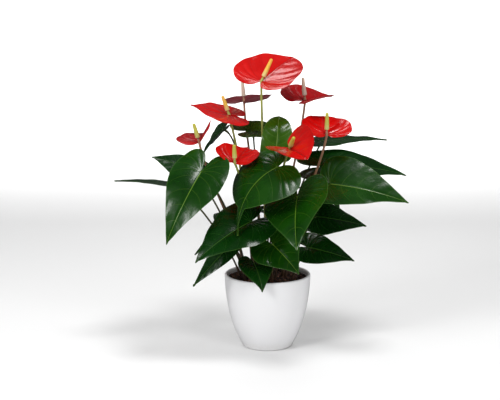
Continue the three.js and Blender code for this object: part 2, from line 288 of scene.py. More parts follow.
class Wiring:
    """Adds nodes to one tree and joins them."""

    def __init__(self, tree: bpy.types.NodeTree) -> None:
        """Starts on a tree.

        Args:
            tree: The material's or the group's tree.
        """
        self.tree = tree

    def add(self, kind: str, inputs: dict[Any, Any] | None = None, **settings: Any) -> bpy.types.Node:
        """Adds a node.

        Args:
            kind: The node's type.
            inputs: Values or other nodes' outputs, by socket name or number.
            **settings: The node's own settings.

        Returns:
            The node.
        """
        node = self.tree.nodes.new(kind)
        for key, value in settings.items():
            setattr(node, key, value)
        self.feed(node, inputs or {})
        return node

    def feed(self, node: bpy.types.Node, inputs: dict[Any, Any]) -> None:
        """Fills a node's inputs.

        Args:
            node: The node.
            inputs: Values or other nodes' outputs, by socket name or number.
        """
        for key, value in inputs.items():
            if isinstance(value, bpy.types.NodeSocket):
                self.tree.links.new(value, node.inputs[key])
            else:
                node.inputs[key].default_value = value

    def attribute(self, name: str) -> bpy.types.NodeSocket:
        """The number that a piece's vertices carry under a name."""
        return self.add("ShaderNodeAttribute", attribute_name=name).outputs["Fac"]

    def position(self) -> bpy.types.NodeSocket:
        """The place on the piece, in metres."""
        return self.add("ShaderNodeTexCoord").outputs["Object"]

    def blend(self, share: Any, first: Any, second: Any) -> bpy.types.NodeSocket:
        """Mixes two colours.

        Args:
            share: How much of the second, as a value or an output.
            first: The first colour, or an output.
            second: The second colour, or an output.

        Returns:
            The mixed colour.
        """
        one, other = (
            colour if isinstance(colour, bpy.types.NodeSocket) else (*colour, 1) for colour in (first, second)
        )
        node = self.add("ShaderNodeMix", {0: share, 6: one, 7: other}, data_type="RGBA", clamp_factor=True)
        return node.outputs[2]

    def maths(self, operation: str, first: Any, second: Any = 0.0, third: Any = 0.0) -> bpy.types.NodeSocket:
        """One sum.

        Args:
            operation: The operation.
            first: The first number, or an output.
            second: The second.
            third: The third, where the operation has one.

        Returns:
            The result.
        """
        node = self.add("ShaderNodeMath", {0: first, 1: second, 2: third}, operation=operation)
        return node.outputs[0]

    def remap(
        self, value: Any, low: float, high: float, to_low: float, to_high: float
    ) -> bpy.types.NodeSocket:
        """Carries a range of numbers onto another, held at its ends.

        Args:
            value: The number.
            low: Where the range starts.
            high: Where it ends.
            to_low: What its start becomes.
            to_high: What its end becomes.

        Returns:
            The result.
        """
        node = self.add(
            "ShaderNodeMapRange",
            {"Value": value, "From Min": low, "From Max": high, "To Min": to_low, "To Max": to_high},
            interpolation_type="SMOOTHSTEP",
        )
        return node.outputs["Result"]

    def relief(self, shader: bpy.types.Node, height: Any, strength: float, distance: float) -> None:
        """Gives a shader fine relief.

        Args:
            shader: The shader.
            height: The output with the relief's heights.
            strength: How strongly it shows.
            distance: How high 1 stands, in metres.
        """
        bump = self.add("ShaderNodeBump", {"Height": height, "Strength": strength, "Distance": distance})
        self.feed(shader, {"Normal": bump.outputs["Normal"]})


class EffectGroup:
    """A shader effect that several finishes share, built once."""

    def __init__(self, name: str, inputs: dict[str, float], outputs: Sequence[str], build: Callable) -> None:
        """Builds the group.

        Args:
            name: The group's name.
            inputs: Each input's name and usual value.
            outputs: The outputs' names.
            build: Given the wiring and the group's inputs, returns one socket for each output.
        """
        self.tree = bpy.data.node_groups.new(name, "ShaderNodeTree")
        for key, value in inputs.items():
            made = self.tree.interface.new_socket(name=key, in_out="INPUT", socket_type="NodeSocketFloat")
            made.default_value = value
        for key in outputs:
            self.tree.interface.new_socket(name=key, in_out="OUTPUT", socket_type="NodeSocketFloat")
        wiring = Wiring(self.tree)
        source = wiring.add("NodeGroupInput")
        target = wiring.add("NodeGroupOutput")
        for key, socket in zip(outputs, build(wiring, source.outputs)):
            self.tree.links.new(socket, target.inputs[key])

    def use(self, wiring: Wiring, output: str, **inputs: Any) -> bpy.types.NodeSocket:
        """Places the group in a material.

        Args:
            wiring: The material's wiring.
            output: The output to take.
            **inputs: Values for the inputs, with _ for a space.

        Returns:
            The output.
        """
        values = {key.replace("_", " "): value for key, value in inputs.items()}
        return wiring.add("ShaderNodeGroup", values, node_tree=self.tree).outputs[output]


def build_mottle(wiring: Wiring, given: Any) -> list[bpy.types.NodeSocket]:
    """Cloudy patches from 0 to 1.

    Args:
        wiring: The group's wiring.
        given: The group's inputs.

    Returns:
        The patches.
    """
    clouds = wiring.add(
        "ShaderNodeTexNoise",
        {"Vector": wiring.position(), "Scale": given["Scale"], "Detail": given["Detail"], "Roughness": 0.6},
    )
    spread = wiring.maths("SUBTRACT", clouds.outputs["Fac"], 0.5)
    return [wiring.add("ShaderNodeMath", {0: spread, 1: given["Contrast"], 2: 0.5},
                       operation="MULTIPLY_ADD", use_clamp=True).outputs[0]]


def build_line(wiring: Wiring, given: Any) -> list[bpy.types.NodeSocket]:
    """A soft line: 1 where the distance is 0, and 0 beyond the width.

    Args:
        wiring: The group's wiring.
        given: The group's inputs.

    Returns:
        The line.
    """
    share = wiring.maths("DIVIDE", given["Distance"], given["Width"])
    return [wiring.remap(share, 0.25, 1.0, 1.0, 0.0)]


def build_grain(wiring: Wiring, given: Any) -> list[bpy.types.NodeSocket]:
    """Heights of a fine cellular grain.

    Args:
        wiring: The group's wiring.
        given: The group's inputs.

    Returns:
        The heights.
    """
    place = wiring.position()
    cells = wiring.add("ShaderNodeTexVoronoi", {"Vector": place, "Scale": given["Scale"]})
    coarse = wiring.add(
        "ShaderNodeTexNoise", {"Vector": place, "Scale": given["Coarse Scale"], "Detail": 3.0}
    )
    fine = wiring.maths("MULTIPLY", cells.outputs["Distance"], given["Fine"])
    return [wiring.maths("ADD", fine, wiring.maths("MULTIPLY", coarse.outputs["Fac"], given["Coarse"]))]


class Effects:
    """The shader effects that the finishes share."""

    def __init__(self) -> None:
        """Builds each effect once."""
        self.mottle = EffectGroup(
            "mottle", {"Scale": 20.0, "Detail": 3.0, "Contrast": 2.0}, ["Value"], build_mottle
        )
        self.line = EffectGroup("soft_line", {"Distance": 0.0, "Width": 1.0}, ["Mask"], build_line)
        self.grain = EffectGroup(
            "fine_grain",
            {"Scale": 900.0, "Fine": 1.0, "Coarse Scale": 120.0, "Coarse": 1.0},
            ["Height"],
            build_grain,
        )


# ---- Finishes ----


def new_material(name: str) -> tuple[bpy.types.Material, Wiring, bpy.types.Node]:
    """Starts a material with its Principled shader.

    Args:
        name: The material's name.

    Returns:
        The material, its wiring and its shader.
    """
    material = bpy.data.materials.new(name)
    material.use_nodes = True
    material.node_tree.nodes.clear()
    wiring = Wiring(material.node_tree)
    shader = wiring.add("ShaderNodeBsdfPrincipled")
    wiring.add("ShaderNodeOutputMaterial", {"Surface": shader.outputs["BSDF"]})
    return material, wiring, shader


@dataclass(frozen=True)
class BladeFinish:
    """A leaf blade's or a spathe's skin.

    Attributes:
        name: The material's name.
        deep: Its colour in the darker patches.
        fresh: Its colour in the lighter patches.
        vein: Colour of the midrib and the veins.
        edge: Colour of the thin margin.
        rib_width: Half width of the midrib's colour, in mm.
        vein_width: Half width of a vein's colour, in mm.
        vein_share: How strongly the side veins show.
        gloss: Roughness of the smooth parts.
        wax: Weight of the clear waxy coat.
        relief: Strength of the surface's fine relief.
    """

    name: str
    deep: Colour
    fresh: Colour
    vein: Colour
    edge: Colour
    rib_width: float = 1.3
    vein_width: float = 0.75
    vein_share: float = 0.2
    gloss: float = 0.2
    wax: float = 0.2
    relief: float = 0.25

    def material(self, effects: Effects) -> bpy.types.Material:
        """Builds the material.

        Args:
            effects: The shared effects.

        Returns:
            The material.
        """
        material, wiring, shader = new_material(self.name)
        patches = effects.mottle.use(wiring, "Value", Scale=16.0, Detail=3.0, Contrast=2.6)
        flecks = effects.mottle.use(wiring, "Value", Scale=140.0, Detail=2.0, Contrast=1.6)
        rib = effects.line.use(wiring, "Mask", Distance=wiring.attribute("rib"), Width=self.rib_width)
        vein = effects.line.use(wiring, "Mask", Distance=wiring.attribute("vein"), Width=self.vein_width)
        faint = wiring.maths("MULTIPLY", vein, self.vein_share)
        lines = wiring.maths("MAXIMUM", rib, faint)
        margin = effects.line.use(wiring, "Mask", Distance=wiring.attribute("edge"), Width=1.3)
        ground = wiring.blend(patches, self.deep, self.fresh)
        flecked = wiring.blend(wiring.maths("MULTIPLY", flecks, 0.3), ground, self.fresh)
        veined = wiring.blend(lines, flecked, self.vein)
        skin = wiring.blend(wiring.maths("MULTIPLY", margin, 0.4), veined, self.edge)
        rough = wiring.maths("MULTIPLY_ADD", patches, 0.1, self.gloss)
        wiring.feed(shader, {
            "Base Color": skin, "Roughness": wiring.maths("MULTIPLY_ADD", lines, 0.12, rough),
            "Coat Weight": self.wax, "Coat Roughness": 0.1, "Specular IOR Level": 0.28,
        })
        grain = effects.grain.use(wiring, "Height", Scale=1100.0, Fine=0.35, Coarse_Scale=95.0, Coarse=2.2)
        wiring.relief(shader, wiring.maths("MULTIPLY_ADD", lines, -1.2, grain), self.relief, 0.0006)
        return material


@dataclass(frozen=True)
class StalkFinish:
    """The skin of a stalk, which changes colour on its way up.

    Attributes:
        name: The material's name.
        foot: Colour at the foot.
        middle: Colour half way up.
        top: Colour near the top.
        streak: Colour of the long streaks.
        gloss: Roughness.
    """

    name: str
    foot: Colour
    middle: Colour
    top: Colour
    streak: Colour
    gloss: float = 0.38

    def material(self, effects: Effects) -> bpy.types.Material:
        """Builds the material.

        Args:
            effects: The shared effects.

        Returns:
            The material.
        """
        material, wiring, shader = new_material(self.name)
        along = wiring.attribute("along")
        patches = effects.mottle.use(wiring, "Value", Scale=60.0, Detail=4.0, Contrast=2.5)
        lower = wiring.blend(wiring.remap(along, 0.0, 0.5, 0.0, 1.0), self.foot, self.middle)
        colour = wiring.blend(wiring.remap(along, 0.5, 0.98, 0.0, 1.0), lower, self.top)
        streaked = wiring.blend(wiring.maths("MULTIPLY", patches, 0.5), colour, self.streak)
        rough = wiring.maths("MULTIPLY_ADD", patches, 0.15, self.gloss)
        wiring.feed(shader, {
            "Base Color": streaked, "Roughness": rough, "Coat Weight": 0.1, "Coat Roughness": 0.25
        })
        grain = effects.grain.use(wiring, "Height", Scale=1400.0, Fine=0.4, Coarse_Scale=260.0, Coarse=1.6)
        wiring.relief(shader, grain, 0.3, 0.0005)
        return material


@dataclass(frozen=True)
class SpadixFinish:
    """The spadix's skin: hundreds of tiny flowers, coloured from base to tip, with shade painted into the
    hollows between them.

    Attributes:
        name: The material's name.
        base: Colour at the base.
        middle: Colour half way up.
        tip: Colour at the tip.
    """

    name: str
    base: Colour
    middle: Colour
    tip: Colour

    def material(self, effects: Effects) -> bpy.types.Material:
        """Builds the material.

        Args:
            effects: The shared effects.

        Returns:
            The material.
        """
        material, wiring, shader = new_material(self.name)
        along = wiring.attribute("along")
        crown = wiring.attribute("crown")
        patches = effects.mottle.use(wiring, "Value", Scale=220.0, Detail=3.0, Contrast=2.0)
        lower = wiring.blend(wiring.remap(along, 0.05, 0.5, 0.0, 1.0), self.base, self.middle)
        colour = wiring.blend(wiring.remap(along, 0.45, 0.9, 0.0, 1.0), lower, self.tip)
        # Painted shade: where crown is low, in the hollows between the tiny flowers, the colour is darkened
        # towards a shaded copy of the middle colour.
        shaded = tuple(0.55 * part for part in self.middle)
        painted_hollow_shade = wiring.maths("MULTIPLY", wiring.remap(crown, 0.1, 0.6, 1.0, 0.0), 0.55)
        with_hollow_shade = wiring.blend(painted_hollow_shade, colour, shaded)
        flecked = wiring.blend(wiring.maths("MULTIPLY", patches, 0.25), with_hollow_shade, self.base)
        rough = wiring.maths("MULTIPLY_ADD", patches, 0.2, 0.42)
        wiring.feed(shader, {"Base Color": flecked, "Roughness": rough})
        grain = effects.grain.use(wiring, "Height", Scale=2200.0, Fine=0.8, Coarse_Scale=500.0, Coarse=0.8)
        wiring.relief(shader, grain, 0.35, 0.0004)
        return material


@dataclass(frozen=True)
class GlazeFinish:
    """White satin glaze with a little dust low down.

    Attributes:
        name: The material's name.
        white: The glaze's colour.
        dusty: Its colour where dust has settled.
        foot_height: How far up the dust reaches, in metres.
    """

    name: str = "satin_white_glaze"
    white: Colour = (0.86, 0.86, 0.875)
    dusty: Colour = (0.7, 0.68, 0.65)
    foot_height: float = 0.02

    def material(self, effects: Effects) -> bpy.types.Material:
        """Builds the material.

        Args:
            effects: The shared effects.

        Returns:
            The material.
        """
        material, wiring, shader = new_material(self.name)
        height = wiring.add("ShaderNodeSeparateXYZ", {0: wiring.position()}).outputs["Z"]
        low = wiring.remap(height, 0.0, self.foot_height, 1.0, 0.0)
        patches = effects.mottle.use(wiring, "Value", Scale=22.0, Detail=5.0, Contrast=2.2)
        specks = effects.mottle.use(wiring, "Value", Scale=420.0, Detail=2.0, Contrast=3.5)
        dust = wiring.maths("MULTIPLY", low, wiring.maths("MULTIPLY_ADD", specks, 0.35, 0.1))
        haze = wiring.maths("MULTIPLY_ADD", patches, 0.08, dust)
        wiring.feed(shader, {
            "Base Color": wiring.blend(haze, self.white, self.dusty),
            "Roughness": wiring.maths("MULTIPLY_ADD", patches, 0.1, 0.3),
            "Coat Weight": 0.3, "Coat Roughness": 0.2,
        })
        grain = effects.grain.use(wiring, "Height", Scale=700.0, Fine=0.15, Coarse_Scale=160.0, Coarse=1.0)
        wiring.relief(shader, grain, 0.12, 0.0004)
        return material


@dataclass(frozen=True)
class MixFinish:
    """Loose bark and peat.

    Attributes:
        name: The material's name.
        dark: Colour of damp peat.
        brown: Colour of most bark.
        pale: Colour of dry broken bark.
    """

    name: str
    dark: Colour = (0.018, 0.009, 0.006)
    brown: Colour = (0.11, 0.04, 0.02)
    pale: Colour = (0.3, 0.15, 0.08)

    def material(self, effects: Effects) -> bpy.types.Material:
        """Builds the material.

        Args:
            effects: The shared effects.

        Returns:
            The material.
        """
        material, wiring, shader = new_material(self.name)
        tone = wiring.attribute("tone")
        patches = effects.mottle.use(wiring, "Value", Scale=180.0, Detail=6.0, Contrast=2.4)
        body = wiring.blend(wiring.remap(tone, 0.1, 0.7, 0.0, 1.0), self.dark, self.brown)
        broken = wiring.blend(wiring.remap(tone, 0.75, 1.0, 0.0, 0.8), body, self.pale)
        mottled = wiring.blend(wiring.maths("MULTIPLY", patches, 0.6), broken, self.dark)
        rough = wiring.maths("MULTIPLY_ADD", patches, 0.2, 0.72)
        wiring.feed(shader, {"Base Color": mottled, "Roughness": rough})
        grain = effects.grain.use(wiring, "Height", Scale=900.0, Fine=1.0, Coarse_Scale=240.0, Coarse=2.0)
        wiring.relief(shader, grain, 0.7, 0.001)
        return material


class LeafTone(Enum):
    """How old, and so how dark, a leaf is."""

    DARK = BladeFinish(
        "leaf_dark", deep=(0.001, 0.015, 0.001), fresh=(0.003, 0.036, 0.002), vein=(0.03, 0.09, 0.008),
        edge=(0.05, 0.12, 0.02)
    )
    GREEN = BladeFinish(
        "leaf_green", deep=(0.002, 0.024, 0.001), fresh=(0.007, 0.052, 0.001), vein=(0.09, 0.18, 0.012),
        edge=(0.07, 0.16, 0.03)
    )
    YOUNG = BladeFinish(
        "leaf_young", deep=(0.008, 0.045, 0.001), fresh=(0.035, 0.1, 0.002), vein=(0.1, 0.18, 0.02),
        edge=(0.1, 0.16, 0.03)
    )


class SpatheTone(Enum):
    """How dark a flower's spathe is coloured."""

    SCARLET = BladeFinish(
        "spathe_scarlet", deep=(0.4, 0.001, 0.001), fresh=(0.58, 0.003, 0.002), vein=(0.26, 0.001, 0.001),
        edge=(0.3, 0.004, 0.004), vein_share=0.5, gloss=0.14, wax=0.5, relief=0.4
    )
    CRIMSON = BladeFinish(
        "spathe_crimson", deep=(0.26, 0.001, 0.003), fresh=(0.44, 0.003, 0.005), vein=(0.14, 0.001, 0.002),
        edge=(0.2, 0.004, 0.005), vein_share=0.4, gloss=0.18, wax=0.1, relief=0.4
    )
    MAROON = BladeFinish(
        "spathe_maroon", deep=(0.08, 0.002, 0.006), fresh=(0.15, 0.004, 0.01), vein=(0.05, 0.002, 0.005),
        edge=(0.1, 0.006, 0.01), vein_share=0.5, gloss=0.34, wax=0.1, relief=0.35
    )


class SpadixTone(Enum):
    """The colours of a spadix."""

    GOLDEN = SpadixFinish("spadix_golden", (0.75, 0.6, 0.26), (0.85, 0.5, 0.03), (0.85, 0.42, 0.015))
    LIME = SpadixFinish("spadix_lime", (0.6, 0.55, 0.2), (0.5, 0.5, 0.05), (0.5, 0.46, 0.03))
    BLUSH = SpadixFinish("spadix_blush", (0.6, 0.5, 0.4), (0.68, 0.5, 0.4), (0.72, 0.55, 0.4))


class StalkTone(Enum):
    """The colours of a stalk."""

    PETIOLE = StalkFinish(
        "leaf_stalk_skin", (0.07, 0.03, 0.018), (0.06, 0.05, 0.016), (0.07, 0.1, 0.02), (0.03, 0.03, 0.012)
    )
    GREEN = StalkFinish(
        "flower_stalk_green", (0.12, 0.09, 0.03), (0.24, 0.27, 0.05), (0.42, 0.46, 0.1), (0.16, 0.17, 0.03)
    )
    RUSSET = StalkFinish(
        "flower_stalk_russet", (0.1, 0.05, 0.025), (0.22, 0.1, 0.05), (0.42, 0.2, 0.12), (0.13, 0.08, 0.035)
    )


UNDERSIDE_GREEN = BladeFinish(
    "leaf_underside", deep=(0.03, 0.09, 0.02), fresh=(0.06, 0.14, 0.03), vein=(0.16, 0.26, 0.08),
    edge=(0.1, 0.2, 0.05), rib_width=2.0, vein_share=0.6, gloss=0.45, wax=0.0
)
UNDERSIDE_RED = BladeFinish(
    "spathe_underside", deep=(0.32, 0.01, 0.012), fresh=(0.45, 0.03, 0.025), vein=(0.5, 0.1, 0.06),
    edge=(0.4, 0.02, 0.02), rib_width=1.6, vein_share=0.5, gloss=0.4, wax=0.1
)


class Wardrobe:
    """Makes each finish's material once and hands it out."""

    def __init__(self) -> None:
        """Starts with the shared effects and no materials."""
        self.effects = Effects()
        self.made: dict[str, bpy.types.Material] = {}

    def get(self, finish: Any) -> bpy.types.Material:
        """The material of a finish.

        Args:
            finish: The finish.

        Returns:
            Its material.
        """
        if finish.name not in self.made:
            self.made[finish.name] = finish.material(self.effects)
        return self.made[finish.name]

    def dress(self, piece: bpy.types.Object, slot: str, node: str, *finishes: Any) -> None:
        """Gives a piece its materials and hands it over.

        Args:
            piece: The piece.
            slot: The name of its slot.
            node: The part's node that it stands for.
            *finishes: Its finishes.
        """
        for finish in finishes:
            piece.data.materials.append(self.get(finish))
        hand_over(piece, slot, node)


# ---- The plant's layout ----


@dataclass(frozen=True)
class Stalked:
    """What a leaf and a flower have in common, in millimetres and degrees.

    Attributes:
        name: Its name.
        at: Where its stalk meets the blade, with its height above the pot's rim.
        tip: The blade's tip, in the same way.
        face: Where the blade's upper side looks, beside the stalk.
        width: Width of the blade.
        bend: How far the midrib turns down on its way to the tip.
        fold: How far each half rises from the midrib.
        curl: How far the margins roll down.
        foot: Where the stalk leaves the mix, from the pot's axis.
        sweep: How far the midrib turns to its right.
        twist: How far it turns about itself.
        lobe: How far the two lobes reach behind the stalk, as a share of the midrib.
        reach: How much of the way outwards the stalk has gone near its top.
        lift: How much of the way up it has gone there.
        tail: How much of the midrib runs through the drawn-out tip.
        blunt: How full the blade stays towards its tip, from 0 to 1.
        ripple: How far the margins wave.
    """

    name: str
    at: Triple
    tip: Triple
    face: Triple
    width: float
    bend: float
    fold: float
    curl: float
    foot: tuple[float, float]
    sweep: float = 0
    twist: float = 0
    lobe: float = 0.31
    reach: float = 0.62
    lift: float = 0.78
    tail: float = 0.14
    blunt: float = 0
    ripple: float = 0.9

    @property
    def seat(self) -> np.ndarray:
        """Where the stalk meets the blade."""
        return np.array(self.at) + RIM

    @property
    def point(self) -> np.ndarray:
        """The blade's tip."""
        return np.array(self.tip) + RIM


@dataclass(frozen=True)
class Leaf(Stalked):
    """A leaf.

    Attributes:
        tone: Its colours.
    """

    tone: LeafTone = LeafTone.DARK


@dataclass(frozen=True)
class Flower(Stalked):
    """A flower.

    Attributes:
        spike: The spadix from its base to its tip.
        tone: The spathe's colours.
        spadix_tone: The spadix's colours.
        stalk_tone: The stalk's colours.
    """

    lobe: float = 0.3
    blunt: float = 0.6
    reach: float = 0.88
    lift: float = 0.76
    spike: Triple = (0, 0, 30)
    tone: SpatheTone = SpatheTone.SCARLET
    spadix_tone: SpadixTone = SpadixTone.GOLDEN
    stalk_tone: StalkTone = StalkTone.GREEN


LEAVES = [
    Leaf("front_left", (-106, -71, 180), (-159, -118, 73), (-0.2, -0.8, 0.5), 92, bend=45, sweep=8,
         fold=10, curl=6, foot=(-32, -10), reach=0.5, tone=LeafTone.GREEN),
    Leaf("back_left", (-122, 46, 163), (-195, 66, 185), (0, -0.5, 0.85), 70, bend=15, fold=6, curl=4,
         foot=(-38, 8)),
    Leaf("far_left", (-150, 14, 146), (-251, 0, 155), (0, 0.02, 1), 66, bend=8, fold=4, curl=3,
         foot=(-44, 0), ripple=0.4),
    Leaf("upper_left", (-74, 46, 233), (-109, 62, 190), (-0.8, -0.1, 0.3), 50, bend=15, fold=12, curl=2,
         foot=(-24, 12), reach=0.35, lift=1),
    Leaf("upper_middle", (-24, 44, 231), (52, 82, 218), (0, -0.3, 1), 80, bend=20, fold=10, curl=3,
         lobe=0.4, foot=(-12, 16), tone=LeafTone.YOUNG),
    Leaf("young_upright", (12, -26, 196), (18, 8, 260), (0, -0.9, 0.35), 52, bend=80, fold=4, curl=3,
         lobe=0.08, tail=0.03, blunt=1, foot=(4, 4), reach=0.2, lift=1, ripple=0.4,
         tone=LeafTone.YOUNG),
    Leaf("middle_front", (13, -81, 189), (-49, -104, 84), (-0.4, -0.68, 0.62), 120, bend=60, sweep=-46,
         twist=60, fold=4, curl=14, lobe=0.18, tail=0.34, blunt=0.9, foot=(-2, -14), reach=0.3, lift=0.9,
         ripple=0.2, tone=LeafTone.GREEN),
    Leaf("right_front", (45, -84, 142), (42, -160, 73), (-0.45, -0.6, 0.67), 110, bend=30, fold=8,
         curl=5, lobe=0.42, foot=(12, -20), ripple=0.5, tone=LeafTone.GREEN),
    Leaf("lower_left", (-29, -76, 101), (-115, -112, 43), (-0.3, -0.65, 0.65), 100, bend=30, fold=8,
         curl=6, foot=(-24, -24)),
    Leaf("lower_middle", (7, -78, 65), (48, -104, 23), (0.05, -0.75, 0.6), 84, bend=25, fold=10,
         curl=4, foot=(6, -34), tone=LeafTone.GREEN),
    Leaf("rim_leaf", (-22, -62, 30), (-9, -93, -9), (0.3, -0.78, 0.5), 58, bend=34, fold=10, curl=3,
         foot=(-14, -38)),
    Leaf("hanging_left", (-60, -50, 60), (-121, -66, -7), (0.5, -0.4, 0.75), 40, bend=20, fold=24,
         curl=2, foot=(-36, -30), ripple=0.5),
    Leaf("low_back_left", (-72, 50, 50), (-124, 60, 17), (-0.2, -0.3, 0.9), 60, bend=25, fold=10,
         curl=3, foot=(-30, 22)),
    Leaf("right_middle", (82, 42, 87), (168, 50, 69), (0, -0.6, 0.75), 74, bend=15, fold=4, curl=4,
         foot=(34, 10)),
    Leaf("right_low", (66, -30, 50), (140, -46, 31), (0.1, -0.75, 0.6), 58, bend=20, fold=6, curl=4,
         foot=(40, -18)),
    Leaf("right_big", (99, -40, 156), (222, -72, 131), (0, -0.66, 0.75), 108, bend=22, fold=16, curl=3,
         lobe=0.16, foot=(28, -18), tone=LeafTone.GREEN),
    Leaf("right_back", (94, 22, 175), (233, 48, 156), (0, -0.5, 0.85), 86, bend=25, fold=8, curl=4,
         foot=(26, 6)),
    Leaf("right_high", (93, 74, 211), (205, 96, 210), (0, -0.14, 1), 66, bend=12, fold=4, curl=3,
         foot=(16, 30)),
    Leaf("back_middle", (23, 92, 90), (42, 178, 48), (0, 0.5, 0.85), 76, bend=30, fold=6, curl=6,
         foot=(8, 34)),
    Leaf("back_right", (72, 90, 124), (130, 154, 78), (0.3, 0.2, 0.9), 86, bend=30, fold=6, curl=6,
         foot=(26, 30)),
    Leaf("back_low", (-44, 84, 90), (-88, 152, 38), (-0.2, 0.4, 0.85), 88, bend=30, fold=6, curl=6,
         foot=(-14, 36), tone=LeafTone.GREEN),
]

FLOWERS = [
    Flower("top", (-11, -6, 317), (42, 64, 352), (0, -0.4, 0.9), 108, bend=10, fold=5, curl=-6,
           lobe=0.24, tail=0.05, blunt=0.7, spike=(17, 4, 36), foot=(-2, 10)),
    Flower("back_right", (62, 44, 282), (109, 78, 286), (0.05, -0.1, 0.97), 108, bend=15, fold=14,
           curl=-2, lobe=0.5, blunt=0.2, foot=(14, 24), spike=(-4, 0, 38), tone=SpatheTone.CRIMSON,
           spadix_tone=SpadixTone.BLUSH, stalk_tone=StalkTone.RUSSET),
    Flower("left", (-63, 20, 260), (-126, 4, 279), (0.3, -0.22, 0.93), 88, bend=-10, fold=2, curl=1,
           lobe=0.5, blunt=0.2, spike=(-11, -2, 32), foot=(-22, 0), reach=0.6),
    Flower("back_left", (-39, 94, 276), (0, 155, 281), (-0.1, -0.02, 1), 84, bend=15, fold=4, curl=0,
           foot=(-4, 28), reach=0.95, spike=(-3, 0, 34), tone=SpatheTone.MAROON,
           spadix_tone=SpadixTone.BLUSH, stalk_tone=StalkTone.RUSSET),
    Flower("far_left", (-110, -30, 221), (-104, 28, 230), (-0.46, -0.1, 0.88), 76, bend=10, fold=34,
           curl=0, foot=(-34, -4), spike=(-9, 0, 31), tone=SpatheTone.CRIMSON,
           spadix_tone=SpadixTone.LIME, stalk_tone=StalkTone.RUSSET),
    Flower("front_left", (-53, -57, 192), (-32, -8, 211), (0.06, -0.36, 0.93), 72, bend=10, fold=12,
           curl=-9, lobe=0.14, foot=(-20, -8), reach=0.45, spike=(-1, -4, 30), spadix_tone=SpadixTone.LIME),
    Flower("front_middle", (33, -67, 217), (60, -114, 206), (-0.3, -0.42, 0.87), 78, bend=20, fold=24,
           curl=-8, lobe=0.4, tail=0.05, blunt=0.9, spike=(6, -22, 20), foot=(6, -8), reach=0.3,
           spadix_tone=SpadixTone.LIME),
    Flower("right", (94, -24, 233), (90, 24, 258), (0.1, -0.45, 0.86), 82, bend=10, fold=6, curl=-6,
           lobe=0.22, tail=0.05, blunt=0.8, spike=(0, -2, 36), foot=(24, -8), spadix_tone=SpadixTone.LIME,
           stalk_tone=StalkTone.RUSSET),
]


# ---- Blades ----


class HeartOutline:
    """Half of a flat heart-shaped margin, from the notch round the lobe to the tip."""

    def __init__(self, plan: Stalked, length: float, notch: float) -> None:
        """Lays the outline.

        Args:
            plan: The leaf or flower.
            length: From the notch to the tip.
            notch: Radius of the notch.
        """
        w, n, back = plan.width / 2, notch, length * plan.lobe
        body, end = length * (1 - plan.tail), length * plan.tail
        full, round_off = 0.4 + 0.24 * plan.blunt, 0.4 + 0.36 * plan.blunt
        corners = [
            (0, 0), (n * 0.55, 0), (n, -n * 0.45), (n, -n),
            (n * 1.1, -back * 0.65), (w * 0.2, -back), (w * 0.42, -back),
            (w * 0.78, -back), (w, -back * 0.45), (w, length * 0.1),
            (w, body * full), (w * round_off, body * (0.74 + 0.16 * plan.blunt)), (w * 0.17, body),
            (w * 0.08, body + end * 0.5), (w * 0.02, body + end * 0.8), (0, length),
        ]
        parts = [bezier(corners[i : i + 4], 60) for i in range(0, len(corners) - 1, 3)]
        self.points = np.vstack(parts)
        steps = np.linalg.norm(np.diff(self.points, axis=0), axis=1)
        self.shares = np.concatenate([[0], np.cumsum(steps)]) / steps.sum()

    def at(self, share: np.ndarray) -> tuple[np.ndarray, np.ndarray]:
        """Points on the margin.

        Args:
            share: How far along the margin, from 0 to 1.

        Returns:
            Their distances from the midrib's line, and along it.
        """
        x = np.interp(share, self.shares, self.points[:, 0])
        return x, np.interp(share, self.shares, self.points[:, 1])


class BladeForm:
    """Carries points of a flat blade into space, along its bent and twisted midrib."""

    STEPS = 24

    def __init__(self, plan: Stalked, at: np.ndarray) -> None:
        """Works out the midrib and the blade's length.

        Args:
            plan: The leaf or flower.
            at: Where the midrib starts.
        """
        self.plan = plan
        self.at = at
        places = [np.zeros(3)]
        for i in range(self.STEPS):
            places.append(places[-1] + self.turn(i / self.STEPS) @ np.array([0, 1, 0]) / self.STEPS)
        self.places = np.array(places)
        chord = plan.point - at
        self.length = np.linalg.norm(chord) / np.linalg.norm(places[-1])
        start = self.basis(places[-1], np.array([0, 0, 1.0]))
        self.to_space = self.basis(chord, np.array(plan.face, float)) @ start.T

    def turn(self, share: float) -> np.ndarray:
        """How the blade is turned at a share of its midrib, as a matrix."""
        return (
            turned(-math.radians(self.plan.sweep) * share, "Z")
            @ turned(-math.radians(self.plan.bend) * share, "X")
            @ turned(math.radians(self.plan.twist) * share**2, "Y")
        )

    @staticmethod
    def basis(along: np.ndarray, up: np.ndarray) -> np.ndarray:
        """Axes with Y along a direction and Z as near as can be to another.

        Args:
            along: The direction for Y.
            up: The direction for Z.

        Returns:
            The axes as the columns of a matrix.
        """
        y = unit(along)
        z = unit(up - y * (up @ y))
        return np.column_stack([np.cross(y, z), y, z])

    def place(self, x: np.ndarray, y: np.ndarray, rise: np.ndarray) -> np.ndarray:
        """Carries points into space.

        Args:
            x: How far they are to the right of the midrib.
            y: How far along the midrib.
            rise: How far above the blade's surface.

        Returns:
            The places in metres, one row each.
        """
        share = np.clip(y / self.length, 0, 1)
        marks = np.linspace(0, 1, self.STEPS + 1)
        spine = np.column_stack([np.interp(share, marks, self.places[:, k]) for k in range(3)]) * self.length
        fold = math.radians(self.plan.fold)
        across = x * math.cos(fold)
        up = np.abs(x) * math.sin(fold) - self.plan.curl * (2 * x / self.plan.width) ** 2 + rise
        local = np.column_stack([across, np.minimum(y, 0), up])
        turns = np.array([self.turn(s) for s in share])
        moved = np.einsum("nij,nj->ni", turns, local) + spine
        return (moved @ self.to_space.T + self.at) * MM


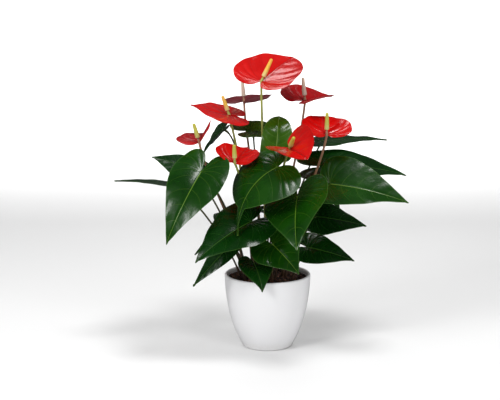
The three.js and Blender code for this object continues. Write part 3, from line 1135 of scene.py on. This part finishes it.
@dataclass
class Blade:
    """A thin heart-shaped blade with its midrib, its veins and waving margins.

    Attributes:
        plan: The leaf or flower it belongs to.
        notch: Radius of the notch between the lobes.
        veins: Side veins in each half.
        rows_per_vein: Rows of faces from one vein to the next.
        columns: Faces from the midrib to the margin.
        thickness: Thickness of the blade at its midrib.
        thin_share: How thin the skin between the veins is, as a share of that.
        quilting: How far the skin bulges between the veins.
        groove: Depth of the groove over the midrib.
        stand: How far in front of the stalk the midrib starts.
    """

    plan: Stalked
    notch: float = 0.8
    veins: int = 11
    rows_per_vein: int = 6
    columns: int = 14
    thickness: float = 2.2
    thin_share: float = 0.24
    quilting: float = 0.4
    groove: float = 0.5
    stand: float = 0.0

    def build(self, name: str, seed: int) -> bpy.types.Object:
        """Models the blade.

        Args:
            name: The piece's name.
            seed: Where its waves and bulges start.

        Returns:
            The piece.
        """
        rows = self.veins * self.rows_per_vein
        piece, column, row = grid_piece(name, 2 * self.columns, rows)
        forward = unit(self.plan.point - self.plan.seat)
        form = BladeForm(self.plan, self.plan.seat + forward * self.stand)
        outline = HeartOutline(self.plan, form.length, self.notch)
        side = (column - self.columns) / self.columns
        share = row / rows
        flat = self.flatten(outline, side, share)
        nearest = np.abs((row % self.rows_per_vein) - self.rows_per_vein / 2)
        step = self.flatten(outline, side, np.minimum(share + 1 / rows, 1)) - flat
        spacing = np.maximum(np.linalg.norm(step, axis=1), 0.02)
        to_vein = nearest * spacing
        margin_x, _ = outline.at(share)
        to_edge = (1 - np.abs(side)) * np.maximum(margin_x, 1.0)
        rise = self.relief(flat, side, share, nearest, spacing, form.length, seed)
        shape(piece, form.place(flat[:, 0], flat[:, 1], rise))
        taper = np.clip(1 - 0.75 * flat[:, 1] / form.length, 0.2, 1)
        behind = np.maximum(-flat[:, 1], 0)
        to_rib = np.hypot(flat[:, 0], behind) / taper
        mark(piece, "rib", to_rib)
        mark(piece, "vein", to_vein + 0.35 * np.abs(side) ** 2)
        mark(piece, "edge", to_edge)
        self.thicken(piece, to_rib, to_vein, side)
        merge_doubles(piece)
        apply_modifier(
            piece, "SOLIDIFY", thickness=self.thickness * MM, offset=-1, vertex_group="ribs",
            thickness_vertex_group=self.thin_share, use_quality_normals=True, material_offset=1,
        )
        smooth(piece)
        return piece

    def flatten(self, outline: HeartOutline, side: np.ndarray, share: np.ndarray) -> np.ndarray:
        """Places on the flat blade, on rows that follow the side veins.

        Args:
            outline: The margin.
            side: From -1 at the left margin, over the midrib, to 1 at the right.
            share: How far along the margin each row ends.

        Returns:
            The places, one row each.
        """
        x, y = outline.at(share)
        across = np.abs(side)
        start = np.maximum(0, y - 0.8 * x)
        bow = 0.11 * np.sin(np.pi * across) * np.clip((share - 0.1) / 0.25, 0, 1)
        bent_x = x * across + bow * (y - start)
        bent_y = start + (y - start) * across - bow * x
        return np.column_stack([np.sign(side) * bent_x, bent_y])

    def relief(
        self, flat: np.ndarray, side: np.ndarray, share: np.ndarray, nearest: np.ndarray,
        spacing: np.ndarray, length: float, seed: int,
    ) -> np.ndarray:
        """Heights of the upper skin above the plain blade.

        Args:
            flat: The places on the flat blade.
            side: From -1 to 1 across it.
            share: How far along the margin each row ends.
            nearest: Rows to the nearest vein.
            spacing: Distance from row to row.
            length: The midrib's length.
            seed: Where the waves start.

        Returns:
            The heights, in millimetres.
        """
        across = np.abs(side)
        half = self.rows_per_vein / 2
        pillow = np.sin(np.pi / 2 * nearest / half) * np.minimum(1, spacing * half / 5)
        pillow *= smoothstep(0.02, 0.2, across) * (1 - smoothstep(0.82, 1.0, across))
        fading = 1 - 0.7 * np.clip(flat[:, 1] / length, 0, 1)
        dip = -self.groove * np.exp(-((flat[:, 0] / 1.6) ** 2)) * fading
        phase = seed * 1.7 + np.where(side < 0, 2.1, 0.0)
        wave = np.sin(2 * np.pi * 2.6 * share + phase) + 0.5 * np.sin(2 * np.pi * 5.3 * share + 2 * phase)
        ends = smoothstep(0.05, 0.25, share) * (1 - smoothstep(0.75, 1.0, share))
        ripple = self.plan.ripple * wave * across**2.5 * ends
        drift = np.array([noise.noise(Vector((a / 26, b / 26, seed * 3.1))) for a, b in flat])
        return 0.4 + self.quilting * pillow + dip + ripple + 0.9 * drift * across

    def thicken(
        self, piece: bpy.types.Object, to_rib: np.ndarray, to_vein: np.ndarray, side: np.ndarray
    ) -> None:
        """Says where the underside carries its midrib and veins.

        Args:
            piece: The blade.
            to_rib: Distance to the midrib.
            to_vein: Distance to the nearest side vein.
            side: From -1 to 1 across the blade.
        """
        ribs = piece.vertex_groups.new(name="ribs")
        inner = 1 - np.abs(side)
        weight = np.maximum(np.exp(-((to_rib / 1.8) ** 2)), 0.3 * np.exp(-((to_vein / 0.9) ** 2)) * inner)
        weight = weight * smoothstep(0.0, 0.06, inner)
        for index, value in enumerate(weight):
            ribs.add([index], float(value), "REPLACE")


# ---- Stalks and spadices ----


def tube_piece(
    name: str, centres: np.ndarray, radii: np.ndarray, sides: int, angle: float = SMOOTH_BELOW,
    crown: np.ndarray | None = None,
) -> bpy.types.Object:
    """Models a closed round stalk or spike.

    Args:
        name: The piece's name.
        centres: The points of its line, in millimetres.
        radii: The radius at each point, or a row of radii round it.
        sides: Faces round it.
        angle: The sharpest angle that is shaded smooth.
        crown: How far each place stands out, from 0 to 1, as a row for each point, or None.

    Returns:
        The piece, which carries its share of the way along as an attribute.
    """
    rows = len(centres) - 1
    piece, column, row = grid_piece(name, sides, rows)
    tangents = np.gradient(centres, axis=0)
    across = np.array([1.0, 0, 0])
    frames = []
    for tangent in tangents:
        along = unit(tangent)
        across = unit(across - along * (across @ along))
        frames.append((across, np.cross(along, across)))
    first = np.array([pair[0] for pair in frames])
    second = np.array([pair[1] for pair in frames])
    if radii.ndim == 1:
        radii = np.repeat(radii[:, None], sides, axis=1)
    turn = column % sides
    round_it = 2 * np.pi * turn / sides
    radius = radii[row, turn]
    points = centres[row] + first[row] * (radius * np.cos(round_it))[:, None]
    points = points + second[row] * (radius * np.sin(round_it))[:, None]
    shape(piece, points * MM)
    mark(piece, "along", row / rows)
    if crown is not None:
        mark(piece, "crown", crown[row, turn])
    merge_doubles(piece)
    smooth(piece, angle)
    return piece


def lengths_along(line: np.ndarray) -> np.ndarray:
    """How far along a line each of its points lies."""
    return np.concatenate([[0], np.cumsum(np.linalg.norm(np.diff(line, axis=0), axis=1))])


def stalk_line(plan: Stalked, foot_height: float, top: np.ndarray, count: int) -> np.ndarray:
    """Points of a stalk, which leaves steeply and bows outwards.

    Args:
        plan: The leaf or flower.
        foot_height: Height of its foot.
        top: Where it ends.
        count: How many points.

    Returns:
        The points, in millimetres.
    """
    foot = np.array([*plan.foot, foot_height])
    run = top - foot
    low = foot + run * np.array([0.18, 0.18, 0.36])
    high = foot + run * np.array([plan.reach, plan.reach, plan.lift])
    return bezier([foot, low, high, top], count)


@dataclass
class Petiole:
    """A leaf's stalk, with a sheath at its foot and a thicker joint under the blade.

    Attributes:
        plan: The leaf.
        foot_height: Height of its foot.
        radius: Radius of most of it.
        joint: Radius of the joint under the blade.
        joint_length: Length of the joint.
        sheath: Radius of the sheath at its foot.
        sheath_length: How far up the sheath reaches.
        sides: Faces round it.
        count: Points along it.
    """

    plan: Leaf
    foot_height: float
    radius: float = 1.45
    joint: float = 2.1
    joint_length: float = 11
    sheath: float = 2.5
    sheath_length: float = 14
    sides: int = 12
    count: int = 44

    def build(self) -> bpy.types.Object:
        """Models the stalk.

        Returns:
            The piece.
        """
        line = stalk_line(self.plan, self.foot_height, self.plan.seat, self.count)
        length = lengths_along(line)
        from_top = length[-1] - length
        joint = smoothstep(self.joint_length + 3, self.joint_length - 2, from_top)
        sheath = np.exp(-((length / self.sheath_length) ** 2))
        radii = self.radius + (self.joint - self.radius) * joint + (self.sheath - self.radius) * sheath
        radii[-1] = 0
        radii[0] = 0
        return tube_piece(f"petiole_{self.plan.name}", line, radii, self.sides)


@dataclass
class Peduncle:
    """A flower's stalk, up to the spathe.

    Attributes:
        plan: The flower.
        foot_height: Height of its foot.
        radius: Radius of most of it.
        sheath: Radius of the sheath at its foot.
        sheath_length: How far up the sheath reaches.
        collar: How far the collar under the spathe stands out.
        neck: How far it goes on above the spathe.
        sides: Faces round it.
        count: Points along it.
    """

    plan: Flower
    foot_height: float
    radius: float = 1.9
    sheath: float = 2.8
    sheath_length: float = 16
    collar: float = 0.5
    neck: float = 9
    sides: int = 14
    count: int = 52

    def build(self) -> bpy.types.Object:
        """Models the stalk.

        Returns:
            The piece.
        """
        at = self.plan.seat
        spike = unit(np.array(self.plan.spike, float))
        lower = stalk_line(self.plan, self.foot_height, at, self.count)
        neck = np.array([at + spike * self.neck * share for share in (0.25, 0.5, 0.75, 1.0)])
        line = np.vstack([lower, neck])
        length = lengths_along(line)
        sheath = np.exp(-((length / self.sheath_length) ** 2))
        collar = np.exp(-(((length[-1] - self.neck - length) / 3) ** 2))
        radii = self.radius + (self.sheath - self.radius) * sheath + self.collar * collar
        radii[0] = 0
        radii[-1] = 0
        return tube_piece(f"peduncle_{self.plan.name}", line, radii, self.sides)


@dataclass
class Spadix:
    """The upright spike of tiny flowers, packed in crossing spirals.

    Attributes:
        plan: The flower.
        neck: Bare length between the spathe and the spike.
        radius: Radius near its base.
        tip_radius: Radius near its tip.
        bump: How far each tiny flower stands out, as a share of the radius.
        spirals: Spirals that wind one way and the other.
        climb: How far the spike rises in one turn of the pattern.
        sides: Faces round it.
        count: Points along it.
    """

    plan: Flower
    neck: float = 8
    radius: float = 4.0
    tip_radius: float = 2.5
    bump: float = 0.11
    spirals: tuple[int, int] = (8, 5)
    climb: float = 13
    sides: int = 40
    count: int = 96

    def build(self) -> bpy.types.Object:
        """Models the spike.

        Returns:
            The piece.
        """
        spike = np.array(self.plan.spike, float)
        length = np.linalg.norm(spike)
        share = np.linspace(0, 1, self.count)
        start = self.neck / length
        base = self.plan.seat
        lean = np.array([0.0, -1.0, 0.0]) * 0.02 * length
        line = base + spike * (start + (1 - start) * share)[:, None] + lean * (share * (1 - share))[:, None]
        body = self.radius + (self.tip_radius - self.radius) * share**1.3
        rounding = np.sqrt(np.clip(1 - np.clip((share - 0.93) / 0.07, 0, 1) ** 2, 0, 1))
        rounding *= np.sqrt(np.clip(share / 0.04, 0, 1))
        angle = 2 * np.pi * np.arange(self.sides) / self.sides
        one, other = self.spirals
        climb = 2 * np.pi * share[:, None] * length / self.climb
        crossing = np.cos((one * angle + climb * other) / 2) * np.cos((other * angle - climb * one) / 2)
        crown = np.abs(crossing)
        radii = body[:, None] * (1 - self.bump + self.bump * crown) * rounding[:, None]
        return tube_piece(
            f"spadix_{self.plan.name}", line, radii, self.sides, angle=math.radians(80), crown=crown
        )


# ---- Pot and potting mix ----


@dataclass
class Pot:
    """The round white pot, in millimetres.

    Attributes:
        height: Its height.
        rim_radius: Radius at the rim.
        base_radius: Radius just above the rounded foot.
        foot: Rounding of the foot.
        belly_low: Radius and height of the handle that swells the lower wall.
        belly_high: The same for the upper wall.
        wall: Thickness of the wall.
        floor: Thickness of the floor.
        segments: Faces round it.
    """

    height: float = 122
    rim_radius: float = 71
    base_radius: float = 43
    foot: float = 4.5
    belly_low: tuple[float, float] = (58.5, 30)
    belly_high: tuple[float, float] = (70, 72)
    wall: float = 4.6
    floor: float = 6
    segments: int = 128

    def outer(self, count: int) -> np.ndarray:
        """Points of the outer wall from the foot to the rim, as radius and height."""
        top = (self.rim_radius, self.height - self.wall / 2)
        return bezier([(self.base_radius, self.foot), self.belly_low, self.belly_high, top], count)

    def inner(self, count: int) -> np.ndarray:
        """Points of the inner wall from the rim down to the floor.

        Args:
            count: How many points the whole wall would have.

        Returns:
            Their radii and heights.
        """
        wall = self.outer(count)
        tangent = np.gradient(wall, axis=0)
        tangent /= np.linalg.norm(tangent, axis=1)[:, None]
        inside = wall + np.column_stack([-tangent[:, 1], tangent[:, 0]]) * self.wall
        keep = (inside[:, 1] > self.floor + 1) & (inside[:, 1] < self.height - 1)
        return inside[keep][::-1]

    def inner_radius(self, height: float) -> float:
        """The inner wall's radius at a height."""
        wall = self.inner(60)[::-1]
        return float(np.interp(height, wall[:, 1], wall[:, 0]))

    def profile(self) -> np.ndarray:
        """The whole section, from the underside over the rim to the inner floor.

        Returns:
            Its points' radii and heights.
        """
        lip = self.wall / 2
        turn = np.linspace(-math.pi / 2, -0.3, 6)
        foot = np.column_stack([
            self.base_radius - self.foot + self.foot * np.cos(turn), self.foot + self.foot * np.sin(turn)
        ])
        over = np.linspace(0.35, math.pi - 0.35, 9)
        rim = np.column_stack([
            self.rim_radius - lip + lip * np.cos(over), self.height - lip + lip * np.sin(over)
        ])
        floor = [[self.inner_radius(self.floor + 2) - 2, self.floor]]
        return np.vstack([foot, self.outer(30), rim, self.inner(30), floor])

    def build(self, wardrobe: Wardrobe) -> None:
        """Models the pot: a disc, drawn up ring by ring along the section, and closed at its floor.

        Args:
            wardrobe: Where the materials come from.
        """
        section = self.profile() * MM
        deselect_all()
        bpy.ops.mesh.primitive_circle_add(
            vertices=self.segments, radius=section[0][0], fill_type="NGON", location=(0, 0, 0)
        )
        piece = active_piece("glazed_pot")
        bpy.ops.object.mode_set(mode="EDIT")
        bpy.ops.mesh.select_all(action="SELECT")
        bpy.ops.mesh.flip_normals()
        bpy.ops.mesh.select_mode(type="EDGE")
        bpy.ops.mesh.select_all(action="DESELECT")
        bpy.ops.mesh.select_non_manifold(extend=False)
        for (last_radius, last_height), (radius, height) in zip(section[:-1], section[1:]):
            bpy.ops.mesh.extrude_edges_move(
                TRANSFORM_OT_translate={"value": (0, 0, float(height - last_height))}
            )
            size = float(radius / last_radius)
            bpy.ops.transform.resize(
                value=(size, size, 1), center_override=(0, 0, float(height))
            )
        bpy.ops.mesh.edge_face_add()
        bpy.ops.mesh.inset(thickness=0.012)
        bpy.ops.object.mode_set(mode="OBJECT")
        recalculate_outside(piece)
        smooth(piece, math.radians(60))
        wardrobe.dress(piece, "pot_glaze", "pot", GlazeFinish())


@dataclass
class PottingMix:
    """Bark and peat, mounded a little in the middle of the pot.

    Attributes:
        pot: The pot it fills.
        below_rim: How far below the rim it lies at the wall.
        mound: How much higher it lies in the middle.
        depth: How deep the modelled body goes.
        chips: How many pieces of bark lie on it.
        chip_size: Their smallest and largest size.
        kinds: How many shapes of bark there are.
        seed: Start of the random draws that shape and scatter them.
        clearance: Gap to the pot's wall.
        sunk: How far below the surface the stalks start.
        cells: Faces across the mound.
    """

    pot: Pot
    below_rim: float = 8
    mound: float = 4
    depth: float = 6
    chips: int = 760
    chip_size: tuple[float, float] = (1.6, 6.0)
    kinds: int = 5
    seed: int = 7
    clearance: float = 0.4
    sunk: float = 1.5
    cells: int = 90
    radius: float = field(init=False)

    def __post_init__(self) -> None:
        """Works out how wide the surface is."""
        self.radius = self.pot.inner_radius(self.pot.height - self.below_rim) - self.clearance

    def height_at(self, radius: Any) -> Any:
        """Height of the surface at a distance from the axis."""
        return self.pot.height - self.below_rim + self.mound * (1 - (radius / self.radius) ** 2)

    def foot_height(self, plan: Stalked) -> float:
        """Height at which a leaf's or a flower's stalk starts."""
        return self.height_at(math.hypot(*plan.foot)) - self.sunk

    def build(self, wardrobe: Wardrobe) -> None:
        """Models the mix and the bark on it.

        Args:
            wardrobe: Where the materials come from.
        """
        wardrobe.dress(self.build_peat(), "potting_mix", "potting_mix", MixFinish("damp_peat"))
        wardrobe.dress(self.build_bark(), "potting_mix", "potting_mix", MixFinish("pine_bark"))

    def build_peat(self) -> bpy.types.Object:
        """Models the crumbly mound.

        Returns:
            The piece.
        """
        piece, column, row = grid_piece("peat_mound", self.cells, self.cells)
        u, v = 2 * column / self.cells - 1, 2 * row / self.cells - 1
        x = u * np.sqrt(1 - v * v / 2) * self.radius
        y = v * np.sqrt(1 - u * u / 2) * self.radius
        crumbs = np.array([
            noise.noise(Vector((a / 4, b / 4, 0))) * 1.1 + noise.noise(Vector((a / 11, b / 11, 5))) * 1.4
            for a, b in zip(x, y)
        ])
        rim = 1 - smoothstep(0.93, 1.0, np.hypot(x, y) / self.radius)
        z = self.height_at(np.hypot(x, y))
        shape(piece, np.column_stack([x, y, z + (crumbs - 0.4) * rim]) * MM)
        mark(piece, "tone", 0.25 + 0.2 * crumbs)
        apply_modifier(piece, "SOLIDIFY", thickness=self.depth * MM, offset=-1)
        smooth(piece)
        return piece

    def build_chip(self, kind: int) -> tuple[np.ndarray, list[list[int]]]:
        """Models one piece of bark and takes its mesh.

        Args:
            kind: Which of the shapes.

        Returns:
            Its points, about 1 across, and its faces.
        """
        deselect_all()
        bpy.ops.mesh.primitive_cube_add(size=1)
        piece = active_piece("chip")
        apply_modifier(piece, "BEVEL", width=0.2, segments=1)
        flat = np.empty(len(piece.data.vertices) * 3)
        piece.data.vertices.foreach_get("co", flat)
        points = flat.reshape(-1, 3)
        rough = np.array([noise.noise_vector(Vector(p * 2.1) + Vector((kind * 5.0, 0, 0))) for p in points])
        points = points + 0.28 * rough
        faces = [list(face.vertices) for face in piece.data.polygons]
        bpy.data.objects.remove(piece, do_unlink=True)
        return points, faces

    def build_bark(self) -> bpy.types.Object:
        """Scatters the bark over the mound, as one piece.

        Returns:
            The piece.
        """
        # Noise vectors start from the clock unless they are given a seed.
        noise.seed_set(self.seed)
        kinds = [self.build_chip(kind) for kind in range(self.kinds)]
        draw = random.Random(self.seed)
        points: list[np.ndarray] = []
        faces: list[list[int]] = []
        tones: list[float] = []
        count = 0
        for _ in range(self.chips):
            shape_points, shape_faces = kinds[draw.randrange(len(kinds))]
            low, high = self.chip_size
            size = low + (high - low) * draw.random() ** 2
            out = (self.radius - size * 0.7) * math.sqrt(draw.random())
            angle = draw.uniform(0, 2 * math.pi)
            sizes = np.array([size, size * draw.uniform(0.5, 0.9), size * draw.uniform(0.25, 0.5)])
            turn = (
                turned(draw.uniform(0, 2 * math.pi), "Z")
                @ turned(draw.gauss(0, 0.35), "X")
                @ turned(draw.gauss(0, 0.35), "Y")
            )
            centre = np.array([
                out * math.cos(angle), out * math.sin(angle), self.height_at(out) + size * 0.12
            ])
            points.append((shape_points * sizes) @ turn.T + centre)
            faces += [[index + count for index in face] for face in shape_faces]
            tones += [draw.random()] * len(shape_points)
            count += len(shape_points)
        mesh = bpy.data.meshes.new("bark_chips")
        mesh.from_pydata((np.vstack(points) * MM).tolist(), [], faces)
        piece = put_in_scene("bark_chips", mesh)
        mark(piece, "tone", np.array(tones))
        smooth(piece, math.radians(35))
        return piece


# ---- Leaves and flowers ----


@dataclass
class Foliage:
    """All leaves with their stalks.

    Attributes:
        mix: The potting mix that they grow from.
        leaves: The leaves.
    """

    mix: PottingMix
    leaves: Sequence[Leaf]

    def build(self, wardrobe: Wardrobe) -> None:
        """Models each leaf.

        Args:
            wardrobe: Where the materials come from.
        """
        for seed, leaf in enumerate(self.leaves):
            blade = Blade(leaf).build(f"blade_{leaf.name}", seed)
            wardrobe.dress(blade, "leaf_blade", f"leaf_{leaf.name}", leaf.tone.value, UNDERSIDE_GREEN)
            petiole = Petiole(leaf, self.mix.foot_height(leaf)).build()
            wardrobe.dress(petiole, "leaf_stalk", f"leaf_stalk_{leaf.name}", StalkTone.PETIOLE.value)


@dataclass
class Blooms:
    """All flowers with their stalks.

    Attributes:
        mix: The potting mix that they grow from.
        flowers: The flowers.
        notch: Radius of the notch in which the stalk stands.
    """

    mix: PottingMix
    flowers: Sequence[Flower]
    notch: float = 2.2

    def build(self, wardrobe: Wardrobe) -> None:
        """Models each flower.

        Args:
            wardrobe: Where the materials come from.
        """
        for seed, flower in enumerate(self.flowers):
            spathe = Blade(
                flower, notch=self.notch, veins=9, columns=16, thickness=1.6, thin_share=0.45,
                quilting=0.8, groove=0.9, stand=self.notch,
            ).build(f"hood_{flower.name}", seed + 40)
            wardrobe.dress(spathe, "spathe", f"spathe_{flower.name}", flower.tone.value, UNDERSIDE_RED)
            stalk = f"flower_stalk_{flower.name}"
            peduncle = Peduncle(flower, self.mix.foot_height(flower)).build()
            wardrobe.dress(peduncle, "flower_stalk", stalk, flower.stalk_tone.value)
            wardrobe.dress(Spadix(flower).build(), "flower_stalk", stalk, flower.spadix_tone.value)


# ---- Studio ----


@dataclass(frozen=True)
class SoftLight:
    """A large square light.

    Attributes:
        name: Its name.
        place: Where it stands, in metres.
        size: Its side, in metres.
        power: Its power, in watts.
        colour: Its colour.
        aim: What it points at, or None for the plant.
        mirrored: Whether glossy surfaces show it.
    """

    name: str
    place: Triple
    size: float
    power: float
    colour: Colour = (1, 1, 1)
    aim: Triple | None = None
    mirrored: bool = True

    def build(self, plant: Vector) -> None:
        """Adds the light.

        Args:
            plant: The plant's middle, in metres.
        """
        aim = Vector(self.aim) if self.aim else plant
        data = bpy.data.lights.new(self.name, "AREA")
        data.size = self.size
        data.energy = self.power
        data.color = self.colour
        light = put_in_scene(self.name, data)
        light.location = self.place
        light.rotation_euler = (aim - Vector(self.place)).to_track_quat("-Z", "Y").to_euler()
        light.visible_glossy = self.mirrored


@dataclass
class Studio:
    """The floor, the lights and the camera.

    Attributes:
        eye: The camera's place, in metres.
        dip: How far the camera looks down, in degrees.
        lens: Its focal length, in millimetres.
        sky: Brightness of the surroundings.
        mirrored_sky: Their brightness where a glossy surface mirrors them.
        seen_sky: Their brightness where the camera looks at them.
        floor_reach: How far the floor goes to each side, in metres.
        wall_from: Where the floor starts to rise behind the plant.
        wall_radius: Radius of that rise.
        lights: The lights.
    """

    eye: Triple = (-0.029, -1.905, 0.583)
    dip: float = 10.07
    lens: float = 85
    sky: float = 0.42
    mirrored_sky: float = 0.08
    seen_sky: float = 0.95
    floor_reach: float = 9
    wall_from: float = 3.2
    wall_radius: float = 1.5
    lights: tuple[SoftLight, ...] = (
        SoftLight("window_left", (-1.5, -1.6, 1.5), 0.8, 28),
        SoftLight("window_right", (1.6, -1.8, 0.9), 0.6, 12),
        SoftLight("overhead", (0.3, -0.4, 1.9), 0.5, 15),
        SoftLight("behind", (-0.22, 0.8, 1.5), 0.32, 1.3),
        SoftLight("backdrop", (0, 2.4, 2.6), 2.5, 150, aim=(0, 5.5, 1.0), mirrored=False),
    )

    def build(self) -> None:
        """Sets up the studio."""
        self.add_camera()
        self.add_floor()
        # Keeps the reds and greens as deep as their own colours.
        bpy.context.scene.view_settings.view_transform = "Standard"
        world = bpy.data.worlds.new("studio")
        bpy.context.scene.world = world
        world.use_nodes = True
        background = world.node_tree.nodes["Background"]
        wiring = Wiring(world.node_tree)
        path = wiring.add("ShaderNodeLightPath").outputs
        seen = wiring.maths("MULTIPLY_ADD", path["Is Camera Ray"], self.seen_sky - self.sky, self.sky)
        strength = wiring.maths("MULTIPLY_ADD", path["Is Glossy Ray"], self.mirrored_sky - self.sky, seen)
        wiring.feed(background, {"Color": (1, 1, 1, 1), "Strength": strength})
        low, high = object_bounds()
        for light in self.lights:
            light.build((low + high) / 2)

    def add_camera(self) -> None:
        """Adds the camera in front of the plant, a little above it."""
        data = bpy.data.cameras.new("camera")
        data.lens = self.lens
        data.sensor_width = 36
        camera = put_in_scene("camera", data)
        camera.location = self.eye
        camera.rotation_euler = (math.radians(90 - self.dip), 0, 0)
        bpy.context.scene.camera = camera

    def add_floor(self) -> None:
        """Adds a pale floor that rises softly into a wall behind the plant."""
        piece, column, row = grid_piece("studio_floor", 2, 60)
        x = (column - 1) * self.floor_reach
        run = row / 60 * (self.floor_reach + self.wall_from + 6) - self.floor_reach
        bend = np.clip((run - self.wall_from) / self.wall_radius, 0, math.pi / 2)
        beyond = np.maximum(run - self.wall_from - self.wall_radius * math.pi / 2, 0)
        y = np.minimum(run, self.wall_from) + self.wall_radius * np.sin(bend)
        z = self.wall_radius * (1 - np.cos(bend)) + beyond
        shape(piece, np.column_stack([x, y, z]))
        material, wiring, shader = new_material("pale_paper")
        clouds = wiring.add("ShaderNodeTexNoise", {"Vector": wiring.position(), "Scale": 2.0})
        tint = wiring.blend(clouds.outputs["Fac"], (0.88, 0.88, 0.88), (0.9, 0.9, 0.9))
        wiring.feed(shader, {"Base Color": tint, "Roughness": 0.8})
        piece.data.materials.append(material)
        smooth(piece, math.radians(80))
        piece.visible_glossy = False
        piece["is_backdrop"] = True


def main() -> None:
    """Builds the pot, the mix, the leaves, the flowers and the studio."""
    logging.basicConfig(level=logging.INFO, format="%(name)s: %(message)s")
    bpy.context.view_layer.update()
    wardrobe = Wardrobe()
    pot = Pot()
    mix = PottingMix(pot)
    pot.build(wardrobe)
    mix.build(wardrobe)
    Foliage(mix, LEAVES).build(wardrobe)
    Blooms(mix, FLOWERS).build(wardrobe)
    Studio().build()


if __name__ == "__main__":
    main()
